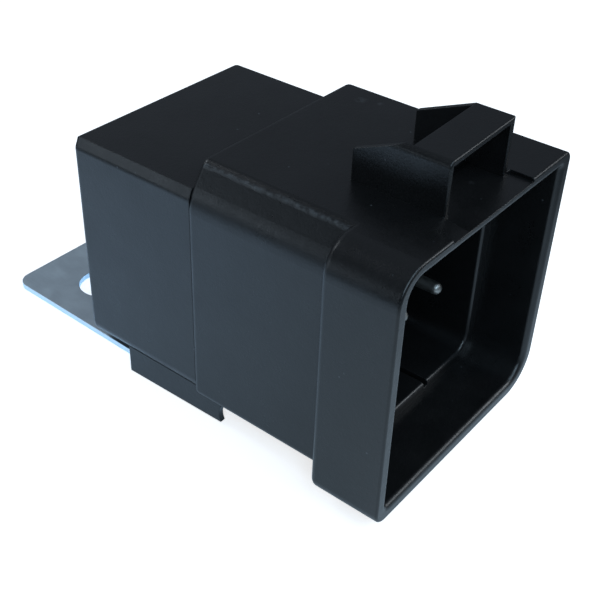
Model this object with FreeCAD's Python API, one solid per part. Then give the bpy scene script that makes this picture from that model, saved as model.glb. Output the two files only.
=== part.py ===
"""Sealed plug-in relay with a skirted mouth, a slide-on steel bracket and a full change-over mechanism.

All sizes are millimetres. Shapes are drawn in the body's own frame: X across, +Y from the mouth to the back,
+Z up, with y = 0 at the mouth's rim. They are then moved so that the origin is the centre of the bracket's
hole on the bracket's underside, which is where the relay is bolted down.
"""

import FreeCAD, Part
import math
import os

Vector = FreeCAD.Vector

# ---- housing: skirt, middle section and their cavities ----
SKIRT_HALF_WIDTH = 17.0
BODY_TOP = 16.7
SKIRT_BOTTOM = -16.7
SKIRT_LENGTH = 9.4
SKIRT_RADII = {"top_left": 4.0, "top_right": 1.2, "bottom_right": 5.0, "bottom_left": 1.8}
SKIRT_WALL = 1.8
SKIRT_TOP_WALL = 1.5
SKIRT_REAR_ROUND = 0.8
RIM_OUTER_ROUND = 0.3
RIM_INNER_ROUND = 0.7
STEP_Y = 7.5
STEP_ROUND = 0.45

MIDDLE_HALF_WIDTH = 14.7
MIDDLE_BOTTOM = -15.4
MIDDLE_END = 29.2
MIDDLE_RADII = {"top_right": 1.0, "bottom_right": 3.0, "bottom_left": 1.0}
MIDDLE_BEVEL = ((0, 4.0, 5.5), (2.4, 0.42, 0), (3.0, 0, 0.8))
MIDDLE_REAR_ROUND = 0.9
MIDDLE_PROUD = 0.15
SOCKET_HALF_WIDTH = 13.5
SOCKET_FLOOR = -13.4
SOCKET_CEILING = 14.6
SOCKET_RADII = {"top_left": 3.0, "top_right": 0.8, "bottom_right": 1.8, "bottom_left": 0.8}
KEY_GROOVE_X = 4.1
KEY_GROOVE_WIDTH = 0.8
KEY_GROOVE_DEPTH = 0.8
LEAST_CORNER = 0.6

# ---- latch bridge on the top, and the shallow recess in front of it ----
LATCH_LEFT = -5.1
LATCH_RIGHT = 7.5
LATCH_WALL = 0.7
LATCH_ROUND = 0.2
LATCH_SHOULDER_ROUND = 0.8
LATCH_FRONT = 3.0
LATCH_BAR_LENGTH = 4.8
LATCH_END = 14.6
LATCH_BAR_TOP = 23.25
LATCH_WING_TOP = 20.4
LATCH_SAG = 0.4
RECESS_LEFT = -8.0
RECESS_RIGHT = 8.2
RECESS_DEPTH = 0.4

# ---- slide rails under the body ----
RAIL_HALF_SPAN = 14.2
RAIL_WEB = 0.75
RAIL_FRONT = 25.4
RAIL_END = 41.4
RAIL_BOTTOM = -18.4
RAIL_RISE = 0.3
RAIL_LIP_WIDTH = 2.6
RAIL_LIP = 1.45
RAIL_LIP_FRONT = 27.0
RAIL_SCOOP_RADIUS = 2.6
RAIL_SCOOP_DEPTH = 0.35
SHOE_TOP = -14.0
SHOE_GAP = 0.02
SHOE_BOTTOM = -15.9
CATCH_HALF_WIDTH = 2.2
CATCH_FRONT = 34.3
CATCH_LENGTH = 2.4
CATCH_HEIGHT = 1.0

# ---- steel bracket ----
BRACKET_TOP = -16.0
BRACKET_THICKNESS = 0.8
BRACKET_HALF_WIDTH = 13.3
BRACKET_FRONT = 26.5
BRACKET_SHOULDER = 43.0
BRACKET_END = 66.0
TAB_RIGHT = 2.6
TAB_TAPER = 0.45
TAB_CORNER = 2.0
SLIDE_CORNER = 0.5
SHOULDER_CORNER = 1.0
HOLE_X = -5.3
HOLE_Y = 56.3
HOLE_RADIUS = 3.3
CATCH_WINDOW_GAP = 0.35

# ---- rear cover ----
COVER_HALF_WIDTH = MIDDLE_HALF_WIDTH - MIDDLE_PROUD
COVER_TOP = 13.8
COVER_BOTTOM = -15.1
COVER_FRONT = MIDDLE_END + 0.03
COVER_END = 48.0
COVER_WALL = 1.2
COVER_RADII = {"top_right": 0.9, "bottom_right": 2.0, "bottom_left": 2.0}
COVER_BEVEL = ((0, 1.3, 1.2), (0.6, 0, 0))
COVER_END_ROUND = 0.8
THROAT_END = 30.5
THROAT_CORNER = 0.4
SPIGOT_FRONT = 26.0
SPIGOT_WALL = 0.8
SPIGOT_CORNER = 1.0
SPIGOT_GAP = 0.05
SPIGOT_HALF_WIDTH = 12.7
SPIGOT_TOP = 12.65
SPIGOT_BOTTOM = -13.2

# ---- header, resin and terminals ----
HEADER_FRONT = 18.5
HEADER_BACK = 22.5
BOSS_FRONT = 17.3
BOSS_RADIUS = 1.8
RESIN_FRONT = 17.8
PIN_TIP = 8.9
PIN_RADIUS = 0.8
SHANK_RADIUS = 1.0
PIN_TAIL_END = 23.4
PIN_PLACES = {
    "85": (7.4, -1.8),
    "86": (0.0, -1.8),
    "30": (-7.4, -1.8),
    "87": (-3.6, 7.0),
    "87a": (3.6, 7.0),
}
FIT_GAP = 0.02
HEADER_GAP = 0.05
RESIN_GAP = 0.01

# ---- magnet system: its axis lies along Y ----
COIL_Z = -0.8
CORE_RADIUS = 3.0
TENON_RADIUS = 2.2
POLE_RADIUS = 4.2
POLE_THICKNESS = 1.2
POLE_FACE = 41.4
YOKE_FRONT = 24.2
YOKE_HALF_WIDTH = 7.5
YOKE_FOOT_THICKNESS = 1.8
YOKE_FOOT_TOP = 3.5
YOKE_LEG_TOP = -8.9
YOKE_LEG_THICKNESS = 1.7
YOKE_END = 41.9
FLANGE_RADIUS = 7.6
FLANGE_THICKNESS = 1.2
BOBBIN_FRONT = 26.2
BOBBIN_END = 40.0
BOBBIN_GAP = 0.05
STAKE_HEIGHT = 0.5
STAKE_RIM = 0.6
HUB_RADIUS = 3.9
WINDING_RADIUS = 6.9

# ---- armature: it turns about the inner edge of the yoke's end ----
ARMATURE_FRONT = 42.0
ARMATURE_THICKNESS = 1.6
ARMATURE_HALF_WIDTH = 6.5
ARMATURE_TOP = 5.6
ARMATURE_BOTTOM = -10.4
TAIL_HALF_WIDTH = 1.4
TAIL_BOTTOM = -12.7
SPRING_LEAF = 0.3
LEAF_HALF_WIDTH = 2.5
LEAF_TOP = 11.2
LEAF_BOTTOM = -5.4
RIVET_PLACES = (1.2, -3.4)
RIVET_SHANK = 0.8
RIVET_HEAD = 1.5
RIVET_HEAD_HEIGHT = 0.6
RIVET_HEAD_ROUND = 0.35
RIVET_END_GAP = 0.05
TAIL_HOLE_RADIUS = 0.45

# ---- contacts and the strips that carry them ----
CONTACT_Z = 9.6
CONTACT_RADIUS = 1.6
CONTACT_HEIGHT = 0.8
CONTACT_TENON = 0.7
CONTACT_ROUND = 0.3
OPEN_CONTACT_FACE = 41.85
REST_GAP = 0.03
STRIP = 0.8
STRIP_TOP = 11.4
STRIP_HALF_WIDTH = 2.2
STRIP_FRONT = HEADER_BACK + 0.1
STRIP_FOOT_BOTTOM = 5.6
OPEN_TAB_BOTTOM = 7.4
OPEN_FOOT_LEFT = -5.0
OPEN_FOOT_RIGHT = 0.6
CLOSED_STRIP_RIGHT = 9.0
CLOSED_STRIP_BOTTOM = 7.8
CLOSED_FOOT_LEFT = 2.4
COMMON_STRIP_LEFT = -9.0
COMMON_FOOT_RIGHT = -5.4
COMMON_STRIP_END = 37.0
COMMON_STRIP_BOTTOM = 2.0
COMMON_STRIP_TOP = 6.0
COMMON_FOOT_BOTTOM = -3.2

# ---- return spring, leads and resistor ----
SPRING_Z = -11.8
COIL_SPRING_RADIUS = 0.65
SPRING_WIRE = 0.16
SPRING_START = 32.2
SPRING_PITCH = 0.8
SPRING_TURNS = 11
FRONT_HOOK_Y = 30.3
FRONT_HOOK_HEIGHT = 0.8
BACK_HOOK_GAP = 0.4
BACK_HOOK_HEIGHT = 0.7
LUG_FRONT = 30.6
LUG_THICKNESS = 0.8
LUG_HALF_WIDTH = 1.2
LUG_MARGIN = 0.8
LUG_HOLE_RADIUS = 0.4
LEAD_RADIUS = 0.2
LEAD_Y = 23.0
LEAD_GAP = 0.05
LEAD_A_SIDE = 8.9
LEAD_A_END = 7.85
LEAD_B_ASIDE = -5.0
LEAD_B_HEIGHT = 5.2
BRAID_RADIUS = 0.6
BRAID_X = -8.6
BRAID_Z = 4.0
BRAID_BACK = 44.65
BRAID_BEND = 1.6
BRAID_REACH = 5.8
RESISTOR_RADIUS = 0.8
RESISTOR_HALF_LENGTH = 3.0
RESISTOR_ROUND = 0.3
RESISTOR_Y = 24.6
RESISTOR_Z = -11.5
RESISTOR_LEFT = -4.5

# ---- drawing tolerances ----
CUT_PAST = 1.0
SAME_PLACE = 1e-6

ORIGIN = Vector(HOLE_X, HOLE_Y, BRACKET_TOP - BRACKET_THICKNESS)
X_AXIS = Vector(1, 0, 0)
Y_AXIS = Vector(0, 1, 0)
Z_AXIS = Vector(0, 0, 1)


# ---- drawing helpers ----
def box(x_range, y_range, z_range):
    size = [high - low for low, high in (x_range, y_range, z_range)]
    return Part.makeBox(*size, Vector(x_range[0], y_range[0], z_range[0]))


def cylinder_y(x, z, y_range, radius):
    return Part.makeCylinder(radius, y_range[1] - y_range[0], Vector(x, y_range[0], z), Y_AXIS)


def cylinder_z(x, y, z_range, radius):
    return Part.makeCylinder(radius, z_range[1] - z_range[0], Vector(x, y, z_range[0]), Z_AXIS)


def rounded_outline(corners, radii):
    """A closed wire through the corner points, each rounded with its own radius (0 leaves a corner sharp)."""
    starts, ends, middles = [], [], []
    count = len(corners)
    for index, (corner, radius) in enumerate(zip(corners, radii)):
        back = (corners[index - 1] - corner).normalize()
        ahead = (corners[(index + 1) % count] - corner).normalize()
        half_angle = back.getAngle(ahead) / 2
        reach = radius / math.tan(half_angle)
        bisector = (back + ahead).normalize()
        starts.append(corner + back * reach)
        ends.append(corner + ahead * reach)
        middles.append(corner + bisector * (radius / math.sin(half_angle) - radius))
    edges = []
    for index in range(count):
        if radii[index] > 0:
            edges.append(Part.Arc(starts[index], middles[index], ends[index]).toShape())
        following = starts[(index + 1) % count]
        if ends[index].distanceToPoint(following) > SAME_PLACE:
            edges.append(Part.LineSegment(ends[index], following).toShape())
    return Part.Wire(edges)


def upright_outline(x_range, z_range, y, radii, bevel=()):
    """A rounded rectangle that stands across the body's axis at depth y.

    A bevel replaces its top left corner: (inset, drop, radius) points from the side up to the top.
    """
    left, right = x_range
    bottom, top = z_range
    points = list(bevel) or [(0, 0, radii["top_left"])]
    corners = [Vector(left + inset, y, top - drop) for inset, drop, _ in points]
    corners += [Vector(right, y, top), Vector(right, y, bottom), Vector(left, y, bottom)]
    rounds = [radius for _, _, radius in points]
    rounds += [radii[name] for name in ("top_right", "bottom_right", "bottom_left")]
    return rounded_outline(corners, rounds)


def upright_prism(x_range, z_range, y_range, radii, bevel=()):
    outline = upright_outline(x_range, z_range, y_range[0], radii, bevel)
    return Part.Face(outline).extrude(Vector(0, y_range[1] - y_range[0], 0))


def even_radii(radius):
    return {name: radius for name in ("top_left", "top_right", "bottom_right", "bottom_left")}


def shrunk_radii(radii, wall):
    """The inner radii of a wall whose outer corners have the given radii."""
    return {name: max(radius - wall, LEAST_CORNER) for name, radius in radii.items()}


def edges_in_plane_y(shape, y, x_range=(-math.inf, math.inf), z_range=(-math.inf, math.inf)):
    """The edges that lie in the plane y and inside the two ranges."""

    def inside(bounds):
        in_plane = abs(bounds.YMin - y) < SAME_PLACE and bounds.YLength < SAME_PLACE
        in_x = x_range[0] - SAME_PLACE < bounds.XMin and bounds.XMax < x_range[1] + SAME_PLACE
        in_z = z_range[0] - SAME_PLACE < bounds.ZMin and bounds.ZMax < z_range[1] + SAME_PLACE
        return in_plane and in_x and in_z

    return [edge for edge in shape.Edges if inside(edge.BoundBox)]


def side_plate(profile, x_range):
    """A plate whose outline is given by (y, z) points, spanning x_range."""
    points = [Vector(x_range[0], y, z) for y, z in profile]
    face = Part.Face(Part.makePolygon(points + points[:1]))
    return face.extrude(Vector(x_range[1] - x_range[0], 0, 0))


def wire_run(points, radius):
    """A round wire through the points, with ball joints at its bends and ends."""
    points = [Vector(*point) for point in points]
    pieces = [Part.makeSphere(radius, point) for point in points]
    for start, end in zip(points, points[1:]):
        pieces.append(Part.makeCylinder(radius, start.distanceToPoint(end), start, end - start))
    return pieces[0].fuse(pieces[1:]).removeSplitter()


# ---- housing ----
def skirt_solid():
    skirt = upright_prism(
        (-SKIRT_HALF_WIDTH, SKIRT_HALF_WIDTH), (SKIRT_BOTTOM, BODY_TOP), (0, SKIRT_LENGTH), SKIRT_RADII
    )
    skirt = skirt.makeFillet(SKIRT_REAR_ROUND, edges_in_plane_y(skirt, SKIRT_LENGTH))
    return skirt.makeFillet(RIM_OUTER_ROUND, edges_in_plane_y(skirt, 0))


def middle_solid():
    """The middle section. Its rear edge is rounded only until it meets the slightly narrower cover."""
    round_left = math.sqrt(MIDDLE_REAR_ROUND**2 - (MIDDLE_REAR_ROUND - MIDDLE_PROUD) ** 2)
    full_end = MIDDLE_END + MIDDLE_REAR_ROUND - round_left
    middle = upright_prism(
        (-MIDDLE_HALF_WIDTH, MIDDLE_HALF_WIDTH),
        (MIDDLE_BOTTOM, BODY_TOP),
        (SKIRT_WALL, full_end),
        MIDDLE_RADII,
        MIDDLE_BEVEL,
    )
    middle = middle.makeFillet(MIDDLE_REAR_ROUND, edges_in_plane_y(middle, full_end))
    across = (-2 * MIDDLE_HALF_WIDTH, 2 * MIDDLE_HALF_WIDTH)
    return middle.common(box(across, (0, MIDDLE_END), across))


def hollowed(body):
    """The body with the skirt's mouth and the narrower socket behind it, both with rounded front edges."""
    mouth_x = (-SKIRT_HALF_WIDTH + SKIRT_WALL, SKIRT_HALF_WIDTH - SKIRT_WALL)
    mouth_z = (SKIRT_BOTTOM + SKIRT_WALL, BODY_TOP - SKIRT_TOP_WALL)
    mouth = upright_prism(mouth_x, mouth_z, (-CUT_PAST, STEP_Y), shrunk_radii(SKIRT_RADII, SKIRT_WALL))
    socket_x = (-SOCKET_HALF_WIDTH, SOCKET_HALF_WIDTH)
    socket_z = (SOCKET_FLOOR, SOCKET_CEILING)
    socket = upright_prism(socket_x, socket_z, (STEP_Y - CUT_PAST, HEADER_BACK), SOCKET_RADII)
    body = body.cut([mouth, socket])
    body = body.makeFillet(RIM_INNER_ROUND, edges_in_plane_y(body, 0, mouth_x, mouth_z))
    return body.makeFillet(STEP_ROUND, edges_in_plane_y(body, STEP_Y, socket_x, socket_z))


def rear_seat():
    """The key groove in the socket's floor, the header's ledge and the seat of the cover's spigot."""
    groove = box(
        (KEY_GROOVE_X - KEY_GROOVE_WIDTH / 2, KEY_GROOVE_X + KEY_GROOVE_WIDTH / 2),
        (STEP_Y - CUT_PAST, RESIN_FRONT - CUT_PAST),
        (SOCKET_FLOOR - KEY_GROOVE_DEPTH, SOCKET_FLOOR + CUT_PAST),
    )
    inner = SPIGOT_HALF_WIDTH - SPIGOT_WALL
    ledge = upright_prism(
        (-inner, inner),
        (SPIGOT_BOTTOM + SPIGOT_WALL, SPIGOT_TOP - SPIGOT_WALL),
        (HEADER_BACK - CUT_PAST, MIDDLE_END + CUT_PAST),
        even_radii(LEAST_CORNER),
    )
    spigot_seat = upright_prism(
        (-SPIGOT_HALF_WIDTH - SPIGOT_GAP, SPIGOT_HALF_WIDTH + SPIGOT_GAP),
        (SPIGOT_BOTTOM - SPIGOT_GAP, SPIGOT_TOP + SPIGOT_GAP),
        (SPIGOT_FRONT - SPIGOT_GAP, MIDDLE_END + CUT_PAST),
        even_radii(SPIGOT_CORNER + SPIGOT_GAP),
    )
    return ledge.fuse([groove, spigot_seat])


def latch_block(inset, bottom, shoulder_round):
    """The bridge's front outline, drawn in by inset on its sides and top, and pushed back to its rear end."""
    left = LATCH_LEFT + inset
    right = LATCH_RIGHT - inset
    top = LATCH_BAR_TOP - inset
    corners = [(left, top - LATCH_SAG), (right, top), (right, bottom), (left, bottom)]
    outline = rounded_outline([Vector(x, LATCH_FRONT, z) for x, z in corners], [shoulder_round, 0, 0, 0])
    return Part.Face(outline).extrude(Vector(0, LATCH_END - LATCH_FRONT, 0))


def latch_bridge():
    """Two side walls that fall away to the rear, joined by a bar at the front."""
    bar_end = LATCH_FRONT + LATCH_BAR_LENGTH
    foot = BODY_TOP - SKIRT_TOP_WALL / 2
    side = side_plate(
        [
            (LATCH_FRONT, foot),
            (LATCH_FRONT, LATCH_BAR_TOP),
            (bar_end, LATCH_BAR_TOP),
            (LATCH_END, LATCH_WING_TOP),
            (LATCH_END, foot),
        ],
        (LATCH_LEFT, LATCH_RIGHT),
    )
    window = latch_block(LATCH_WALL, foot - CUT_PAST, 0)
    open_top = box(
        (LATCH_LEFT + LATCH_WALL, LATCH_RIGHT - LATCH_WALL),
        (bar_end, LATCH_END + CUT_PAST),
        (foot - CUT_PAST, LATCH_BAR_TOP + CUT_PAST),
    )
    bridge = latch_block(0, foot, LATCH_SHOULDER_ROUND).common(side).cut([window, open_top]).removeSplitter()
    return bridge.makeFillet(LATCH_ROUND, edges_in_plane_y(bridge, LATCH_FRONT))


def rail_plate(x_range, front, top):
    """A plate from the rail's underside, which rises a little towards the front, up to the given top."""
    rise = RAIL_RISE * (RAIL_END - front) / (RAIL_END - RAIL_FRONT)
    profile = [(front, RAIL_BOTTOM + rise), (RAIL_END, RAIL_BOTTOM), (RAIL_END, top), (front, top)]
    return side_plate(profile, x_range)


def slide_rail(side):
    """One L-shaped rail (side -1 is left, +1 is right) with a shallow scoop in its front end."""
    outer = side * RAIL_HALF_SPAN
    web_inner = side * (RAIL_HALF_SPAN - RAIL_WEB)
    lip_inner = side * (RAIL_HALF_SPAN - RAIL_LIP_WIDTH)
    web = rail_plate((outer, web_inner), RAIL_FRONT, SHOE_TOP)
    lip = rail_plate((outer, lip_inner), RAIL_LIP_FRONT, RAIL_BOTTOM + RAIL_LIP)
    scoop_z = (RAIL_BOTTOM + MIDDLE_BOTTOM) / 2
    scoop = Part.makeCylinder(
        RAIL_SCOOP_RADIUS,
        2 * RAIL_HALF_SPAN,
        Vector(-RAIL_HALF_SPAN, RAIL_FRONT + RAIL_SCOOP_DEPTH - RAIL_SCOOP_RADIUS, scoop_z),
        X_AXIS,
    )
    return web.fuse(lip).cut(scoop)


def bracket_shoe():
    """The pad that the bracket slides along, its two rails and the wedge that catches the bracket.

    The pad and the rails fit closely round the cover's lower corners.
    """
    pad = box((-RAIL_HALF_SPAN, RAIL_HALF_SPAN), (RAIL_LIP_FRONT, RAIL_END), (SHOE_BOTTOM, SHOE_TOP))
    catch = side_plate(
        [
            (CATCH_FRONT, SHOE_TOP),
            (CATCH_FRONT, SHOE_BOTTOM - CATCH_HEIGHT),
            (CATCH_FRONT + CATCH_LENGTH, BRACKET_TOP),
            (CATCH_FRONT + CATCH_LENGTH, SHOE_TOP),
        ],
        (-CATCH_HALF_WIDTH, CATCH_HALF_WIDTH),
    )
    cover_room = upright_prism(
        (-COVER_HALF_WIDTH - SHOE_GAP, COVER_HALF_WIDTH + SHOE_GAP),
        (COVER_BOTTOM - SHOE_GAP, COVER_TOP),
        (MIDDLE_END, COVER_END),
        {name: radius + SHOE_GAP for name, radius in COVER_RADII.items()},
        COVER_BEVEL,
    )
    return pad.fuse([slide_rail(-1), slide_rail(1), catch]).cut(cover_room)


def latch_recess():
    """The lowered ground in front of and under the bridge; left of it the ground rises as a ramp instead."""
    ground = BODY_TOP - RECESS_DEPTH
    above = BODY_TOP + CUT_PAST
    front = box((LATCH_LEFT, RECESS_RIGHT), (-CUT_PAST, LATCH_FRONT), (ground, above))
    bar_end = LATCH_FRONT + LATCH_BAR_LENGTH
    under = box((LATCH_LEFT + LATCH_WALL, LATCH_RIGHT - LATCH_WALL), (0, bar_end), (ground, above))
    ramp = side_plate(
        [(-CUT_PAST, ground), (0, ground), (LATCH_FRONT, BODY_TOP), (LATCH_FRONT, above), (-CUT_PAST, above)],
        (RECESS_LEFT, LATCH_LEFT),
    )
    return front.fuse([under, ramp])


def housing():
    body = skirt_solid().fuse([middle_solid(), bracket_shoe()]).removeSplitter()
    return hollowed(body).fuse(latch_bridge()).cut([rear_seat(), latch_recess()]).removeSplitter()


# ---- rear cover ----
def rear_cover():
    across = (-COVER_HALF_WIDTH, COVER_HALF_WIDTH)
    upright = (COVER_BOTTOM, COVER_TOP)
    shell = upright_prism(across, upright, (COVER_FRONT, COVER_END), COVER_RADII, COVER_BEVEL)
    shell = shell.makeFillet(COVER_END_ROUND, edges_in_plane_y(shell, COVER_END))
    spigot = upright_prism(
        (-SPIGOT_HALF_WIDTH, SPIGOT_HALF_WIDTH),
        (SPIGOT_BOTTOM, SPIGOT_TOP),
        (SPIGOT_FRONT, THROAT_END),
        even_radii(SPIGOT_CORNER),
    )
    inner = COVER_HALF_WIDTH - COVER_WALL
    hollow = upright_prism(
        (-inner, inner),
        (COVER_BOTTOM + COVER_WALL, COVER_TOP - COVER_WALL),
        (THROAT_END, COVER_END - COVER_WALL),
        even_radii(LEAST_CORNER),
    )
    throat_half = SPIGOT_HALF_WIDTH - SPIGOT_WALL
    throat = upright_prism(
        (-throat_half, throat_half),
        (SPIGOT_BOTTOM + SPIGOT_WALL, SPIGOT_TOP - SPIGOT_WALL),
        (SPIGOT_FRONT - CUT_PAST, THROAT_END + CUT_PAST),
        even_radii(THROAT_CORNER),
    )
    return shell.fuse(spigot).cut([hollow, throat]).removeSplitter()


# ---- mounting bracket ----
def flat_plate(corners, radii):
    """A steel plate of the bracket's thickness through (x, y) corners."""
    underside = BRACKET_TOP - BRACKET_THICKNESS
    outline = rounded_outline([Vector(x, y, underside) for x, y in corners], radii)
    return Part.Face(outline).extrude(Vector(0, 0, BRACKET_THICKNESS))


def mounting_bracket():
    """The part that slides between the rails, and the tab behind it, whose underside is a face of its own."""
    wide = BRACKET_HALF_WIDTH
    slide = flat_plate(
        [(-wide, BRACKET_FRONT), (wide, BRACKET_FRONT), (wide, BRACKET_SHOULDER), (-wide, BRACKET_SHOULDER)],
        [SLIDE_CORNER, SLIDE_CORNER, SHOULDER_CORNER, 0],
    )
    tab = flat_plate(
        [
            (-wide, BRACKET_SHOULDER),
            (TAB_RIGHT, BRACKET_SHOULDER),
            (TAB_RIGHT - TAB_TAPER, BRACKET_END),
            (-wide + TAB_TAPER, BRACKET_END),
        ],
        [0, 0, TAB_CORNER, TAB_CORNER],
    )
    through = (BRACKET_TOP - BRACKET_THICKNESS - CUT_PAST, BRACKET_TOP + CUT_PAST)
    hole = cylinder_z(HOLE_X, HOLE_Y, through, HOLE_RADIUS)
    reach = CATCH_HALF_WIDTH + CATCH_WINDOW_GAP
    along = (CATCH_FRONT - CATCH_WINDOW_GAP, CATCH_FRONT + CATCH_LENGTH + CATCH_WINDOW_GAP)
    return slide.fuse(tab).cut([hole, box((-reach, reach), along, through)])


# ---- header, resin and terminals ----
def seat_prism(y_range, gap):
    """A block that fills the socket's cross-section with a small gap all round."""
    return upright_prism(
        (-SOCKET_HALF_WIDTH + gap, SOCKET_HALF_WIDTH - gap),
        (SOCKET_FLOOR + gap, SOCKET_CEILING - gap),
        y_range,
        SOCKET_RADII,
    )


def terminal_header():
    block = seat_prism((HEADER_FRONT, HEADER_BACK), HEADER_GAP)
    bosses = [cylinder_y(x, z, (BOSS_FRONT, HEADER_FRONT), BOSS_RADIUS) for x, z in PIN_PLACES.values()]
    reach = (BOSS_FRONT - CUT_PAST, HEADER_BACK + CUT_PAST)
    bores = [cylinder_y(x, z, reach, SHANK_RADIUS + FIT_GAP) for x, z in PIN_PLACES.values()]
    return block.fuse(bosses).cut(bores)


def sealing_resin():
    layer = seat_prism((RESIN_FRONT, HEADER_FRONT), RESIN_GAP)
    reach = (RESIN_FRONT - CUT_PAST, HEADER_FRONT + CUT_PAST)
    return layer.cut([cylinder_y(x, z, reach, BOSS_RADIUS + FIT_GAP) for x, z in PIN_PLACES.values()])


def terminal_pin(name):
    x, z = PIN_PLACES[name]
    tip = Part.makeSphere(PIN_RADIUS, Vector(x, PIN_TIP + PIN_RADIUS, z))
    blade = cylinder_y(x, z, (PIN_TIP + PIN_RADIUS, BOSS_FRONT), PIN_RADIUS)
    shank = cylinder_y(x, z, (BOSS_FRONT, HEADER_BACK), SHANK_RADIUS)
    tail = cylinder_y(x, z, (HEADER_BACK, PIN_TAIL_END), PIN_RADIUS)
    return tip.fuse([blade, shank, tail]).removeSplitter()


# ---- magnet system ----
def coil_bobbin():
    hub = cylinder_y(0, COIL_Z, (BOBBIN_FRONT, BOBBIN_END), HUB_RADIUS)
    front = cylinder_y(0, COIL_Z, (BOBBIN_FRONT, BOBBIN_FRONT + FLANGE_THICKNESS), FLANGE_RADIUS)
    back = cylinder_y(0, COIL_Z, (BOBBIN_END - FLANGE_THICKNESS, BOBBIN_END), FLANGE_RADIUS)
    bore = cylinder_y(0, COIL_Z, (BOBBIN_FRONT - CUT_PAST, BOBBIN_END + CUT_PAST), CORE_RADIUS + BOBBIN_GAP)
    return hub.fuse([front, back]).cut(bore)


def coil_winding():
    inset = FLANGE_THICKNESS + BOBBIN_GAP
    span = (BOBBIN_FRONT + inset, BOBBIN_END - inset)
    bore = cylinder_y(0, COIL_Z, span, HUB_RADIUS + BOBBIN_GAP)
    return cylinder_y(0, COIL_Z, span, WINDING_RADIUS).cut(bore)


def iron_core():
    foot_back = YOKE_FRONT + YOKE_FOOT_THICKNESS
    shaft = cylinder_y(0, COIL_Z, (foot_back, POLE_FACE), CORE_RADIUS)
    pole = cylinder_y(0, COIL_Z, (POLE_FACE - POLE_THICKNESS, POLE_FACE), POLE_RADIUS)
    stake_front = YOKE_FRONT - STAKE_HEIGHT
    tenon = cylinder_y(0, COIL_Z, (stake_front, foot_back), TENON_RADIUS)
    staked_head = cylinder_y(0, COIL_Z, (stake_front, YOKE_FRONT), TENON_RADIUS + STAKE_RIM)
    return shaft.fuse([pole, tenon, staked_head])


def yoke():
    across = (-YOKE_HALF_WIDTH, YOKE_HALF_WIDTH)
    leg_bottom = YOKE_LEG_TOP - YOKE_LEG_THICKNESS
    foot = box(across, (YOKE_FRONT, YOKE_FRONT + YOKE_FOOT_THICKNESS), (leg_bottom, YOKE_FOOT_TOP))
    leg = box(across, (YOKE_FRONT, YOKE_END), (leg_bottom, YOKE_LEG_TOP))
    lug_back = LUG_FRONT + LUG_THICKNESS
    lug = box((-LUG_HALF_WIDTH, LUG_HALF_WIDTH), (LUG_FRONT, lug_back), (SPRING_Z - LUG_MARGIN, leg_bottom))
    lug_hole = cylinder_y(0, SPRING_Z, (LUG_FRONT - CUT_PAST, lug_back + CUT_PAST), LUG_HOLE_RADIUS)
    core_hole = cylinder_y(0, COIL_Z, (YOKE_FRONT - CUT_PAST, BOBBIN_FRONT), TENON_RADIUS + FIT_GAP)
    return foot.fuse([leg, lug]).cut([lug_hole, core_hole]).removeSplitter()


# ---- armature and what it carries ----
def armature():
    back = ARMATURE_FRONT + ARMATURE_THICKNESS
    across = (ARMATURE_FRONT, back)
    plate = box((-ARMATURE_HALF_WIDTH, ARMATURE_HALF_WIDTH), across, (ARMATURE_BOTTOM, ARMATURE_TOP))
    tail = box((-TAIL_HALF_WIDTH, TAIL_HALF_WIDTH), across, (TAIL_BOTTOM, ARMATURE_BOTTOM))
    reach = (ARMATURE_FRONT - CUT_PAST, back + CUT_PAST)
    holes = [cylinder_y(0, z, reach, RIVET_SHANK + FIT_GAP) for z in RIVET_PLACES]
    holes.append(cylinder_y(0, SPRING_Z, reach, TAIL_HOLE_RADIUS))
    return plate.fuse(tail).cut(holes).removeSplitter()


def contact_spring():
    front = ARMATURE_FRONT + ARMATURE_THICKNESS
    leaf = box((-LEAF_HALF_WIDTH, LEAF_HALF_WIDTH), (front, front + SPRING_LEAF), (LEAF_BOTTOM, LEAF_TOP))
    reach = (front - CUT_PAST, front + CUT_PAST)
    holes = [cylinder_y(0, z, reach, RIVET_SHANK + FIT_GAP) for z in RIVET_PLACES]
    holes.append(cylinder_y(0, CONTACT_Z, reach, CONTACT_TENON + FIT_GAP))
    return leaf.cut(holes)


def spring_rivets():
    """Two staked rivets, as separate solids."""
    seat = ARMATURE_FRONT + ARMATURE_THICKNESS + SPRING_LEAF
    rivets = []
    for z in RIVET_PLACES:
        shank = cylinder_y(0, z, (ARMATURE_FRONT + RIVET_END_GAP, seat), RIVET_SHANK)
        head = cylinder_y(0, z, (seat, seat + RIVET_HEAD_HEIGHT), RIVET_HEAD)
        head = head.makeFillet(RIVET_HEAD_ROUND, edges_in_plane_y(head, seat + RIVET_HEAD_HEIGHT))
        rivets.append(shank.fuse(head))
    return Part.makeCompound(rivets)


def contact_disc(y_range, face_y):
    """A contact with a rounded edge round the face that touches."""
    disc = cylinder_y(0, CONTACT_Z, y_range, CONTACT_RADIUS)
    return disc.makeFillet(CONTACT_ROUND, edges_in_plane_y(disc, face_y))


def moving_contact():
    leaf_front = ARMATURE_FRONT + ARMATURE_THICKNESS
    leaf_back = leaf_front + SPRING_LEAF
    front = contact_disc((leaf_front - CONTACT_HEIGHT, leaf_front), leaf_front - CONTACT_HEIGHT)
    back = contact_disc((leaf_back, leaf_back + CONTACT_HEIGHT), leaf_back + CONTACT_HEIGHT)
    tenon = cylinder_y(0, CONTACT_Z, (leaf_front, leaf_back), CONTACT_TENON)
    return front.fuse([tenon, back])


# ---- fixed contacts and strips ----
def closed_contact_face():
    return ARMATURE_FRONT + ARMATURE_THICKNESS + SPRING_LEAF + CONTACT_HEIGHT + REST_GAP


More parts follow.
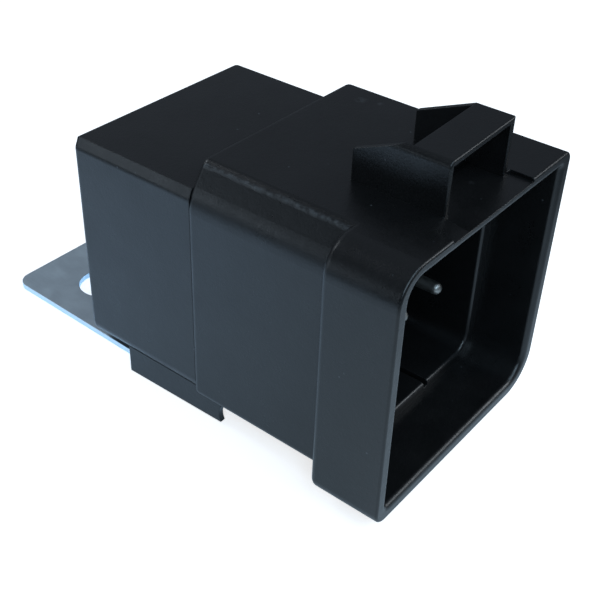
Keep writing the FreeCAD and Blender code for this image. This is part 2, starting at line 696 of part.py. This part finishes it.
def open_contact():
    seat = OPEN_CONTACT_FACE - CONTACT_HEIGHT
    disc = contact_disc((seat, OPEN_CONTACT_FACE), OPEN_CONTACT_FACE)
    return disc.fuse(cylinder_y(0, CONTACT_Z, (seat - STRIP, seat), CONTACT_TENON))


def closed_contact():
    face = closed_contact_face()
    seat = face + CONTACT_HEIGHT
    tenon = cylinder_y(0, CONTACT_Z, (seat, seat + STRIP), CONTACT_TENON)
    return contact_disc((face, seat), face).fuse(tenon)


def strip_foot(x_range, z_range, pin):
    """The end of a strip that is staked over a pin's tail, on the header's back."""
    x, z = PIN_PLACES[pin]
    foot = box(x_range, (STRIP_FRONT, STRIP_FRONT + STRIP), z_range)
    return foot.cut(cylinder_y(x, z, (HEADER_BACK, PIN_TAIL_END + CUT_PAST), PIN_RADIUS + FIT_GAP))


def contact_bore(y):
    return cylinder_y(0, CONTACT_Z, (y - CUT_PAST, y + STRIP + CUT_PAST), CONTACT_TENON + FIT_GAP)


def open_contact_strip():
    seat = OPEN_CONTACT_FACE - CONTACT_HEIGHT - STRIP
    across = (-STRIP_HALF_WIDTH, STRIP_HALF_WIDTH)
    tab = box(across, (seat, seat + STRIP), (OPEN_TAB_BOTTOM, STRIP_TOP))
    run = box(across, (STRIP_FRONT, seat + STRIP), (STRIP_TOP - STRIP, STRIP_TOP))
    foot = strip_foot((OPEN_FOOT_LEFT, OPEN_FOOT_RIGHT), (STRIP_FOOT_BOTTOM, STRIP_TOP), "87")
    return run.fuse([tab, foot]).cut(contact_bore(seat)).removeSplitter()


def closed_contact_strip():
    seat = closed_contact_face() + CONTACT_HEIGHT
    right = CLOSED_STRIP_RIGHT
    upright = (CLOSED_STRIP_BOTTOM, STRIP_TOP)
    tab = box((-STRIP_HALF_WIDTH, right), (seat, seat + STRIP), upright)
    run = box((right - STRIP, right), (STRIP_FRONT, seat + STRIP), upright)
    foot = strip_foot((CLOSED_FOOT_LEFT, right), (STRIP_FOOT_BOTTOM, STRIP_TOP), "87a")
    return run.fuse([tab, foot]).cut(contact_bore(seat)).removeSplitter()


def common_strip():
    left = COMMON_STRIP_LEFT
    upright = (COMMON_STRIP_BOTTOM, COMMON_STRIP_TOP)
    run = box((left, left + STRIP), (STRIP_FRONT, COMMON_STRIP_END), upright)
    foot = strip_foot((left, COMMON_FOOT_RIGHT), (COMMON_FOOT_BOTTOM, COMMON_STRIP_TOP), "30")
    return run.fuse(foot).removeSplitter()


def shunt_braid():
    """A braid from the common strip's end, round one bend, to just behind the moving spring."""
    x = BRAID_X
    y = BRAID_BACK
    z = BRAID_Z
    bend = BRAID_BEND
    straight = cylinder_y(x, z, (COMMON_STRIP_END + FIT_GAP, y - bend), BRAID_RADIUS)
    elbow = Part.makeTorus(bend, BRAID_RADIUS, Vector(x + bend, y - bend, z), Z_AXIS, 0, 360, 360)
    quarter = box((x - bend, x + bend), (y - bend, y + bend), (z - bend, z + bend))
    across = Part.makeCylinder(BRAID_RADIUS, BRAID_REACH, Vector(x + bend, y, z), X_AXIS)
    return straight.fuse([elbow.common(quarter), across])


# ---- return spring, leads and resistor ----
def return_spring():
    length = SPRING_PITCH * SPRING_TURNS
    helix = Part.makeHelix(SPRING_PITCH, length, COIL_SPRING_RADIUS)
    section = Part.Wire(Part.makeCircle(SPRING_WIRE, Vector(COIL_SPRING_RADIUS, 0, 0), Vector(0, 1, 0)))
    coil = Part.Wire(helix).makePipeShell([section], True, True)
    coil.rotate(Vector(0, 0, 0), Vector(1, 0, 0), -90)
    coil.translate(Vector(0, SPRING_START, SPRING_Z))
    start = (COIL_SPRING_RADIUS, SPRING_START, SPRING_Z)
    end = (COIL_SPRING_RADIUS, SPRING_START + length, SPRING_Z)
    front_hook = FRONT_HOOK_Y
    front_tip = SPRING_Z + FRONT_HOOK_HEIGHT
    back_hook = ARMATURE_FRONT + ARMATURE_THICKNESS + BACK_HOOK_GAP
    back_tip = SPRING_Z - BACK_HOOK_HEIGHT
    front = [start, (0, start[1], SPRING_Z), (0, front_hook, SPRING_Z), (0, front_hook, front_tip)]
    back = [end, (0, end[1], SPRING_Z), (0, back_hook, SPRING_Z), (0, back_hook, back_tip)]
    return coil.fuse([wire_run(front, SPRING_WIRE), wire_run(back, SPRING_WIRE)])


def coil_lead_a():
    """From the tail of pin 85 round the yoke's side to the bobbin's front flange."""
    x, z = PIN_PLACES["85"]
    side = LEAD_A_SIDE
    flange_y = BOBBIN_FRONT + FLANGE_THICKNESS / 2
    start = x + PIN_RADIUS + LEAD_RADIUS + LEAD_GAP
    points = [(start, LEAD_Y, z), (side, LEAD_Y, z), (side, flange_y, z), (LEAD_A_END, flange_y, z)]
    return wire_run(points, LEAD_RADIUS)


def coil_lead_b():
    """From the tail of pin 86 over the yoke's foot to the bobbin's front flange."""
    x, z = PIN_PLACES["86"]
    over = LEAD_B_HEIGHT
    aside = LEAD_B_ASIDE
    flange_y = BOBBIN_FRONT + FLANGE_THICKNESS / 2
    start = (x, LEAD_Y, z + PIN_RADIUS + LEAD_RADIUS + LEAD_GAP)
    return wire_run([start, (x, LEAD_Y, over), (aside, LEAD_Y, over), (aside, flange_y, over)], LEAD_RADIUS)


def coil_resistor():
    """A wire-ended resistor under the yoke, in parallel with the coil between pins 85 and 86."""
    y = RESISTOR_Y
    z = RESISTOR_Z
    right_x, right_z = PIN_PLACES["85"]
    left_x = RESISTOR_LEFT
    centre_z = PIN_PLACES["86"][1]
    clear = PIN_RADIUS + LEAD_RADIUS + LEAD_GAP
    half = RESISTOR_HALF_LENGTH
    body = Part.makeCylinder(RESISTOR_RADIUS, 2 * half, Vector(-half, y, z), X_AXIS)
    body = body.makeFillet(RESISTOR_ROUND, [body.Edges[0], body.Edges[2]])
    right = [(half, y, z), (right_x, y, z), (right_x, LEAD_Y, z), (right_x, LEAD_Y, right_z - clear)]
    left = [(-half, y, z), (left_x, y, z), (left_x, LEAD_Y, z), (left_x, LEAD_Y, centre_z)]
    left.append((-clear, LEAD_Y, centre_z))
    return body.fuse([wire_run(right, LEAD_RADIUS), wire_run(left, LEAD_RADIUS)])


PIECES = {
    "housing": housing,
    "rear_cover": rear_cover,
    "mounting_bracket": mounting_bracket,
    "terminal_header": terminal_header,
    "sealing_resin": sealing_resin,
    "coil_bobbin": coil_bobbin,
    "coil_winding": coil_winding,
    "iron_core": iron_core,
    "yoke": yoke,
    "armature": armature,
    "contact_spring": contact_spring,
    "spring_rivets": spring_rivets,
    "moving_contact": moving_contact,
    "open_contact": open_contact,
    "closed_contact": closed_contact,
    "open_contact_strip": open_contact_strip,
    "closed_contact_strip": closed_contact_strip,
    "common_strip": common_strip,
    "shunt_braid": shunt_braid,
    "return_spring": return_spring,
    "coil_lead_a": coil_lead_a,
    "coil_lead_b": coil_lead_b,
    "coil_resistor": coil_resistor,
}


def export(name, shape):
    shape.translate(-ORIGIN)
    shape.exportStep(os.path.join("parts", name + ".step"))


os.makedirs("parts", exist_ok=True)
for node_name, make_piece in PIECES.items():
    export(node_name, make_piece())
for pin_name in PIN_PLACES:
    export("terminal_" + pin_name, terminal_pin(pin_name))
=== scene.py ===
"""Looks of the plug-in relay: moulded black plastic, a plated bracket and the finish of every inner piece.

Everything is in metres in the part's own frame: X across, +Y to the back, +Z up. The origin is the centre of
the bracket's hole, on the bracket's underside.
"""

import math

import bpy
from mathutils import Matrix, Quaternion, Vector


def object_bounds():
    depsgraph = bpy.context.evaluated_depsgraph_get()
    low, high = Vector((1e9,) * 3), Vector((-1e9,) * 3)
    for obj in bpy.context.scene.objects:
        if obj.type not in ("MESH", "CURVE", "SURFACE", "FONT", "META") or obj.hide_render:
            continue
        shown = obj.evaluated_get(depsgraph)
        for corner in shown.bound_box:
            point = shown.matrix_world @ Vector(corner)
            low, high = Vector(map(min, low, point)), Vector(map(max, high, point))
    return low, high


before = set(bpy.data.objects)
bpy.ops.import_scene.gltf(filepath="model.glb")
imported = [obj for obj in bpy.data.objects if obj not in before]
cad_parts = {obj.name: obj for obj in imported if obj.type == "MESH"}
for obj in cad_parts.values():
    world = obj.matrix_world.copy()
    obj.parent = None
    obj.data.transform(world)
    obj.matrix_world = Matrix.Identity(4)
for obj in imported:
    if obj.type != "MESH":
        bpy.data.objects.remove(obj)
cad_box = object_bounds()

MM = 0.001

# ---- camera ----
CAMERA_PLACE = Vector((-78.376, -95.577, 87.444)) * MM
CAMERA_AIM = Vector((5.3, -31.686, 10.088)) * MM
CAMERA_ROLL_DEG = 2.164
CAMERA_LENS = 61.97
CAMERA_SENSOR = 36.0

# ---- floor: even to the camera; in reflections a painted pool of light round the part that fades with distance, painted shade beyond it ----
FLOOR_HALF_SIZE = 2.0
FLOOR_GAP = 0.01 * MM
FLOOR_TONES = ((0.88, 0.885, 0.89), (0.91, 0.915, 0.92))
FLOOR_GLOW = ((1.0, 0.97, 0.94), 0.70)
POOL_CENTRE = (-0.03, -0.02, 0.0)
POOL_REACH = (0.062, 0.13)
# Darker floor tone seen only in reflections beyond the pool: painted shade.
POOL_SHADE_TONE = (0.10, 0.105, 0.11)
POOL_GLOW_FRONT = (0.165, 0.232, 0.29)
POOL_GLOW_BACK = (0.26, 0.41, 0.61)
POOL_GLOW_TURN = (-0.045, 0.0)

# ---- lights: (place, aim, width, height, watts, colour) ----
COOL = (0.60, 0.81, 1.0)
NEUTRAL = (0.86, 0.93, 1.0)
LIGHTS = {
    "key_light": ((-0.50, -0.45, 0.55), (0.0, 0.0, 0.0), 0.45, 0.45, 2.9, COOL),
    "top_light": ((0.00, -0.55, 0.80), (0.0, 0.0, 0.0), 0.60, 0.60, 3.3, COOL),
    "right_light": ((0.46, -0.44, 0.34), (0.0, -0.05, 0.0), 0.26, 0.30, 1.1, NEUTRAL),
    "back_light": ((-0.08, 0.40, 0.36), (0.0, -0.03, 0.02), 0.16, 0.16, 0.28, NEUTRAL),
}

# ---- surroundings: pale to the camera, dim in reflections ----
SKY_TO_CAMERA = (0.97, 0.98, 1.0)
SKY_DIM = (0.035, 0.040, 0.048)
# (direction, cosines of the angle where the patch starts and is full, colour): behind, right, low on the left
SKY_PATCHES = (
    (Vector((0.20, 0.80, 0.60)), (0.35, 1.0), (0.19, 0.22, 0.265)),
    (Vector((0.70, -0.65, 0.25)), (0.60, 1.0), (0.21, 0.23, 0.25)),
    (Vector((-0.72, 0.69, 0.07)), (0.94, 0.985), (1.25, 1.50, 1.75)),
)


# ---- node helpers ----
class Shader:
    """Short ways to add nodes to a node tree."""

    def __init__(self, tree):
        self.tree = tree

    def add(self, kind, settings=None, inputs=None):
        node = self.tree.nodes.new(kind)
        for key, value in (settings or {}).items():
            setattr(node, key, value)
        for key, value in (inputs or {}).items():
            self.feed(node.inputs[key], value)
        return node

    def feed(self, socket, value):
        if isinstance(value, bpy.types.NodeSocket):
            self.tree.links.new(value, socket)
        elif socket.type == "RGBA" and len(value) == 3:
            socket.default_value = (*value, 1.0)
        else:
            socket.default_value = value

    def along(self, axis):
        """The place's X, Y or Z."""
        return self.add("ShaderNodeSeparateXYZ", inputs={"Vector": self.place}).outputs[axis]

    def stretched(self, x, y, z):
        """The place scaled by its own factor along each axis."""
        node = self.add("ShaderNodeMapping", inputs={"Vector": self.place, "Scale": (x, y, z)})
        return node.outputs["Vector"]

    def noise(self, size, detail=3.0, roughness=0.55, place=None):
        """Noise whose features are about `size` metres across."""
        node = self.add(
            "ShaderNodeTexNoise",
            inputs={
                "Vector": place or self.place,
                "Scale": 1.0 / size,
                "Detail": detail,
                "Roughness": roughness,
            },
        )
        return node.outputs["Fac"]

    def cells(self, size, output="Distance", place=None):
        """Voronoi cells about `size` metres across."""
        node = self.add("ShaderNodeTexVoronoi", inputs={"Vector": place or self.place, "Scale": 1.0 / size})
        return node.outputs[output]

    def span(self, value, low, high, new_low, new_high):
        """Value taken linearly from low..high to new_low..new_high, and kept inside it."""
        node = self.add(
            "ShaderNodeMapRange",
            inputs={"Value": value, "From Min": low, "From Max": high, "To Min": new_low, "To Max": new_high},
        )
        return node.outputs["Result"]

    def math(self, operation, a, b=0.0):
        node = self.add("ShaderNodeMath", {"operation": operation})
        self.feed(node.inputs[0], a)
        self.feed(node.inputs[1], b)
        return node.outputs[0]

    def mix(self, share, a, b):
        """Colour a where share is 0, colour b where it is 1."""
        node = self.add("ShaderNodeMix", {"data_type": "RGBA"})
        self.feed(node.inputs[0], share)
        self.feed(node.inputs[6], a)
        self.feed(node.inputs[7], b)
        return node.outputs[2]

    def outer_edges(self, radius):
        """(normal softened on outer edges, mask that is 1 on outer edges). Inner corners stay sharp."""
        soft = self.add("ShaderNodeBevel", {"samples": 6}, {"Radius": radius}).outputs["Normal"]
        flat = self.add("ShaderNodeNewGeometry").outputs["Normal"]
        turned = self.add("ShaderNodeVectorMath", {"operation": "DOT_PRODUCT"})
        self.feed(turned.inputs[0], soft)
        self.feed(turned.inputs[1], flat)
        inside = {"samples": 8, "inside": True}
        thin = self.add("ShaderNodeAmbientOcclusion", inside, {"Distance": radius * 2})
        outer = self.span(thin.outputs["AO"], 0.96, 0.75, 0.0, 1.0)
        blend = self.add("ShaderNodeMix", {"data_type": "VECTOR"})
        self.feed(blend.inputs[0], outer)
        self.feed(blend.inputs[4], flat)
        self.feed(blend.inputs[5], soft)
        edge = self.math("MULTIPLY", outer, self.span(turned.outputs["Value"], 0.995, 0.86, 0.0, 1.0))
        return blend.outputs[1], edge

    def bump(self, height, distance, strength=1.0, normal=None):
        inputs = {"Height": height, "Distance": distance, "Strength": strength}
        if normal is not None:
            inputs["Normal"] = normal
        return self.add("ShaderNodeBump", inputs=inputs).outputs["Normal"]


class Finish(Shader):
    """A new material with a Principled surface."""

    def __init__(self, name):
        self.material = bpy.data.materials.new(name)
        self.material.use_nodes = True
        super().__init__(self.material.node_tree)
        self.surface = self.tree.nodes["Principled BSDF"]
        self.place = self.add("ShaderNodeTexCoord").outputs["Object"]

    def set(self, name, value):
        self.feed(self.surface.inputs[name], value)


# ---- materials ----
# Pale tone and share for outer edges: real rubbing plus a painted edge highlight. The same tone is a painted
# highlight along the flash line.
RUBBED_AND_HIGHLIGHT_TONE = (0.10, 0.105, 0.11)
EDGE_WEAR_AND_HIGHLIGHT = 0.10
DUST_TONE = (0.14, 0.15, 0.16)
ROLLING_LAY = (1.0, 0.08, 1.0)
CRYSTAL_SIZE = 2.5 * MM
BARE_TONE = (0.8, 0.82, 0.84)
# Where the flash line runs: a ragged ridge whose pale tone is a painted highlight on the crease.
FLASH_HIGHLIGHT_X = -7.0 * MM
FLASH_HIGHLIGHT_Y = (-46.8 * MM, -27.4 * MM)
FLASH_HIGHLIGHT_LEAST_Z = 32.7 * MM
SCUFFS = (
    (Vector((16.5, -31.2, 33.5)) * MM, 0.9 * MM),
    (Vector((17.2, -33.6, 33.5)) * MM, 0.5 * MM),
    (Vector((8.8, -51.3, 33.1)) * MM, 0.4 * MM),
)


def moulded_plastic(name, dark, light, gloss=(0.28, 0.38), grain=0.22 * MM, dust=0.5, marks=None):
    """Injection-moulded plastic: fine spark-eroded grain, faint flow clouds, rubbed edges with a painted edge
    highlight, a little dust.

    marks, if given, takes the shader and returns (mask, height) of pale marks: scuffs, and a flash line whose
    pale tone is a painted highlight.
    """
    shader = Finish(name)
    soft, edge = shader.outer_edges(0.16 * MM)
    clouds = shader.noise(9 * MM, detail=4.0)
    mottle = shader.noise(0.9 * MM, detail=3.0, roughness=0.6)
    fine = shader.noise(grain, detail=4.0, roughness=0.65)
    pits = shader.cells(grain * 1.6)
    tone = shader.mix(shader.span(clouds, 0.3, 0.7, 0.0, 1.0), dark, light)

    # Outer edges turned paler: partly rubbing, partly a painted edge highlight.
    wear_and_highlight = shader.math("MULTIPLY", edge, shader.span(shader.noise(1.2 * MM), 0.42, 0.62, 0.1, 1.0))
    tone = shader.mix(shader.math("MULTIPLY", wear_and_highlight, EDGE_WEAR_AND_HIGHLIGHT), tone, RUBBED_AND_HIGHLIGHT_TONE)

    speck = shader.span(shader.cells(1.9 * MM), 0.025, 0.075, 1.0, 0.0)
    chosen = shader.span(shader.noise(4 * MM, detail=2.0), 0.52, 0.60, 0.0, dust)
    tone = shader.mix(shader.math("MULTIPLY", speck, chosen), tone, DUST_TONE)

    smudge = shader.noise(5 * MM, detail=5.0, roughness=0.7)
    rough = shader.span(smudge, 0.3, 0.7, *gloss)
    rough = shader.math("ADD", rough, shader.span(fine, 0.3, 0.7, -0.05, 0.05))
    normal = shader.bump(clouds, 0.06 * MM, 0.4, soft)
    normal = shader.bump(mottle, 0.03 * MM, 0.5, normal)
    normal = shader.bump(pits, 0.012 * MM, 0.35, normal)
    normal = shader.bump(fine, 0.025 * MM, 0.6, normal)
    if marks:
        mask, height = marks(shader)
        # Pale marks: scuffs, and a painted highlight along the flash line.
        tone = shader.mix(mask, tone, RUBBED_AND_HIGHLIGHT_TONE)
        normal = shader.bump(height, 0.05 * MM, 0.7, normal)
    shader.set("Base Color", tone)
    shader.set("Roughness", rough)
    shader.set("IOR", 1.5)
    shader.set("Normal", normal)
    return shader.material


def housing_flash_highlight_and_scuffs(shader):
    """The ragged line of flash along the middle section's top left corner, pale as a painted highlight on
    that crease, and two scuffs on its top.
    """
    ragged = shader.span(shader.noise(1.5 * MM, detail=4.0), 0.3, 0.7, -0.07 * MM, 0.07 * MM)
    across = shader.math("SUBTRACT", shader.math("ADD", shader.along("X"), ragged), FLASH_HIGHLIGHT_X)
    line = shader.span(shader.math("ABSOLUTE", across), 0.05 * MM, 0.25 * MM, 1.0, 0.0)
    depth = shader.along("Y")
    line = shader.math("MULTIPLY", line, shader.math("GREATER_THAN", depth, FLASH_HIGHLIGHT_Y[0]))
    line = shader.math("MULTIPLY", line, shader.math("LESS_THAN", depth, FLASH_HIGHLIGHT_Y[1]))
    line = shader.math("MULTIPLY", line, shader.math("GREATER_THAN", shader.along("Z"), FLASH_HIGHLIGHT_LEAST_Z))
    patchy = shader.span(shader.noise(0.7 * MM, detail=4.0, roughness=0.7), 0.38, 0.62, 0.0, 0.5)
    mask = shader.math("MULTIPLY", line, patchy)
    for place, radius in SCUFFS:
        away = shader.add("ShaderNodeVectorMath", {"operation": "DISTANCE"})
        shader.feed(away.inputs[0], shader.place)
        shader.feed(away.inputs[1], place)
        spot = shader.span(away.outputs["Value"], radius * 0.3, radius, 0.6, 0.0)
        mask = shader.math("MAXIMUM", mask, shader.math("MULTIPLY", spot, patchy))
    return mask, line


def plated_metal(name, dark, light, gloss=(0.26, 0.42)):
    """Plated or plain metal with rolling lines along Y, faint crystal patches and brighter edges."""
    shader = Finish(name)
    soft, edge = shader.outer_edges(0.12 * MM)
    lines = shader.noise(0.12 * MM, detail=4.0, roughness=0.6, place=shader.stretched(*ROLLING_LAY))
    patches = shader.noise(CRYSTAL_SIZE, detail=3.0)
    crystals = shader.cells(CRYSTAL_SIZE * 0.5, "Color")
    crystals = shader.add("ShaderNodeRGBToBW", inputs={"Color": crystals}).outputs["Val"]
    share = shader.span(patches, 0.3, 0.7, 0.0, 0.6)
    share = shader.math("ADD", share, shader.span(crystals, 0.0, 1.0, 0.0, 0.2))
    share = shader.math("ADD", share, shader.span(lines, 0.35, 0.65, 0.0, 0.25))
    tone = shader.mix(share, dark, light)
    shader.set("Base Color", shader.mix(shader.math("MULTIPLY", edge, 0.5), tone, BARE_TONE))
    shader.set("Metallic", 1.0)
    rough = shader.span(patches, 0.3, 0.7, *gloss)
    shader.set("Roughness", shader.math("ADD", rough, shader.span(lines, 0.3, 0.7, -0.06, 0.06)))
    shader.set("Normal", shader.bump(lines, 0.004 * MM, 0.5, soft))
    return shader.material


def pale_floor():
    """A matt, mottled sheet: even and light to the camera; in reflections a painted glowing pool near the
    part and painted shade beyond it.
    """
    shader = Finish("pale_floor")
    away = shader.add("ShaderNodeVectorMath", {"operation": "DISTANCE"})
    shader.feed(away.inputs[0], shader.place)
    shader.feed(away.inputs[1], POOL_CENTRE)
    dimmed = shader.span(away.outputs["Value"], *POOL_REACH, 0.0, 1.0)
    seen = shader.add("ShaderNodeLightPath").outputs["Is Camera Ray"]
    unseen_shade = shader.math("MULTIPLY", dimmed, shader.math("SUBTRACT", 1.0, seen))
    pale = shader.mix(shader.noise(25 * MM, detail=5.0), *FLOOR_TONES)
    # In reflections the floor darkens away from the part: painted shade.
    shader.set("Base Color", shader.mix(unseen_shade, pale, POOL_SHADE_TONE))
    shader.set("Roughness", 0.8)
    shader.set("Normal", shader.bump(shader.noise(0.6 * MM), 0.02 * MM, 0.3))
    # In reflections the floor glows near the part, bluer to the back: a painted pool of light.
    to_back = shader.span(shader.along("Y"), *POOL_GLOW_TURN, 0.0, 1.0)
    pool = shader.mix(to_back, POOL_GLOW_FRONT, POOL_GLOW_BACK)
    pool = shader.mix(dimmed, pool, (0.0, 0.0, 0.0))
    shader.set("Emission Color", shader.mix(seen, pool, FLOOR_GLOW[0]))
    shader.set("Emission Strength", shader.span(seen, 0.0, 1.0, 1.0, FLOOR_GLOW[1]))
    return shader.material


PLASTICS = {
    "body_plastic": ((0.0035, 0.0036, 0.0038), (0.0055, 0.0056, 0.0058), {"marks": housing_flash_highlight_and_scuffs}),
    "cover_plastic": ((0.0045, 0.0046, 0.0048), (0.007, 0.0071, 0.0073), {}),
    "header_plastic": ((0.010, 0.010, 0.011), (0.014, 0.014, 0.015), {"dust": 0.2}),
    "resin": (
        (0.008, 0.008, 0.009),
        (0.012, 0.012, 0.013),
        {"gloss": (0.12, 0.25), "grain": 1.2 * MM, "dust": 0.1},
    ),
    "bobbin_plastic": ((0.55, 0.50, 0.40), (0.62, 0.57, 0.46), {"dust": 0.0}),
    "resistor_ceramic": ((0.45, 0.36, 0.22), (0.52, 0.42, 0.28), {"dust": 0.0}),
}
METALS = {
    "zinc_steel": ((0.70, 0.80, 0.85), (0.82, 0.92, 0.97), {"gloss": (0.36, 0.5)}),
    "soft_iron": ((0.45, 0.45, 0.44), (0.58, 0.58, 0.57), {}),
    "spring_steel": ((0.35, 0.35, 0.36), (0.5, 0.5, 0.5), {}),
    "rivet_steel": ((0.5, 0.5, 0.5), (0.62, 0.62, 0.61), {}),
    "tinned_pin": ((0.30, 0.30, 0.29), (0.40, 0.40, 0.38), {"gloss": (0.38, 0.48)}),
    "silver_contact": ((0.80, 0.79, 0.76), (0.9, 0.89, 0.87), {"gloss": (0.15, 0.3)}),
    "spring_bronze": ((0.55, 0.33, 0.16), (0.68, 0.43, 0.22), {}),
    "strip_brass": ((0.62, 0.46, 0.20), (0.74, 0.58, 0.29), {}),
    "copper_braid": ((0.62, 0.28, 0.16), (0.78, 0.40, 0.25), {}),
    "enamelled_copper": ((0.42, 0.14, 0.05), (0.55, 0.22, 0.09), {}),
}


def finish_cad_nodes():
    """Give every CAD node the finish of its material slot."""
    finishes = {}
    for make, finish_table in ((moulded_plastic, PLASTICS), (plated_metal, METALS)):
        for name, (dark, light, settings) in finish_table.items():
            finishes[name] = make(name, dark, light, **settings)
    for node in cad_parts.values():
        node.data.materials[0] = finishes[node.data.materials[0].name.split(".")[0]]


# ---- stage ----
def studio_floor():
    level = cad_box[0].z - FLOOR_GAP
    half = FLOOR_HALF_SIZE
    mesh = bpy.data.meshes.new("floor")
    corners = [(-half, -half, level), (half, -half, level), (half, half, level), (-half, half, level)]
    mesh.from_pydata(corners, [], [(0, 1, 2, 3)])
    mesh.materials.append(pale_floor())
    floor = bpy.data.objects.new("floor", mesh)
    bpy.context.scene.collection.objects.link(floor)


def softbox(name, place, aim, width, height, watts, colour):
    light = bpy.data.lights.new(name, "AREA")
    light.shape = "RECTANGLE"
    light.size = width
    light.size_y = height
    light.energy = watts
    light.color = colour
    lamp = bpy.data.objects.new(name, light)
    lamp.location = place
    lamp.rotation_mode = "QUATERNION"
    lamp.rotation_quaternion = (Vector(aim) - Vector(place)).to_track_quat("-Z", "Y")
    bpy.context.scene.collection.objects.link(lamp)


def studio_world():
    """Pale to the camera, and dim in reflections so that black faces stay black."""
    world = bpy.data.worlds.new("studio")
    world.use_nodes = True
    bpy.context.scene.world = world
    sky = Shader(world.node_tree)
    direction = sky.add("ShaderNodeTexCoord").outputs["Generated"]
    glow = SKY_DIM
    for centre, spread, colour in SKY_PATCHES:
        towards = sky.add("ShaderNodeVectorMath", {"operation": "DOT_PRODUCT"})
        sky.feed(towards.inputs[0], direction)
        sky.feed(towards.inputs[1], centre.normalized())
        glow = sky.mix(sky.span(towards.outputs["Value"], *spread, 0.0, 1.0), glow, colour)
    seen = sky.add("ShaderNodeLightPath").outputs["Is Camera Ray"]
    sky.feed(world.node_tree.nodes["Background"].inputs["Color"], sky.mix(seen, glow, SKY_TO_CAMERA))


def place_camera():
    data = bpy.data.cameras.new("camera")
    data.lens = CAMERA_LENS
    data.sensor_width = CAMERA_SENSOR
    data.clip_start = 0.001
    data.clip_end = 10.0
    camera = bpy.data.objects.new("camera", data)
    camera.location = CAMERA_PLACE
    camera.rotation_mode = "QUATERNION"
    level = (CAMERA_AIM - CAMERA_PLACE).to_track_quat("-Z", "Y")
    camera.rotation_quaternion = level @ Quaternion((0, 0, 1), math.radians(CAMERA_ROLL_DEG))
    bpy.context.scene.collection.objects.link(camera)
    bpy.context.scene.camera = camera


finish_cad_nodes()
studio_floor()
for light_name, light_settings in LIGHTS.items():
    softbox(light_name, *light_settings)
studio_world()
place_camera()
bpy.context.scene.view_settings.view_transform = "Standard"
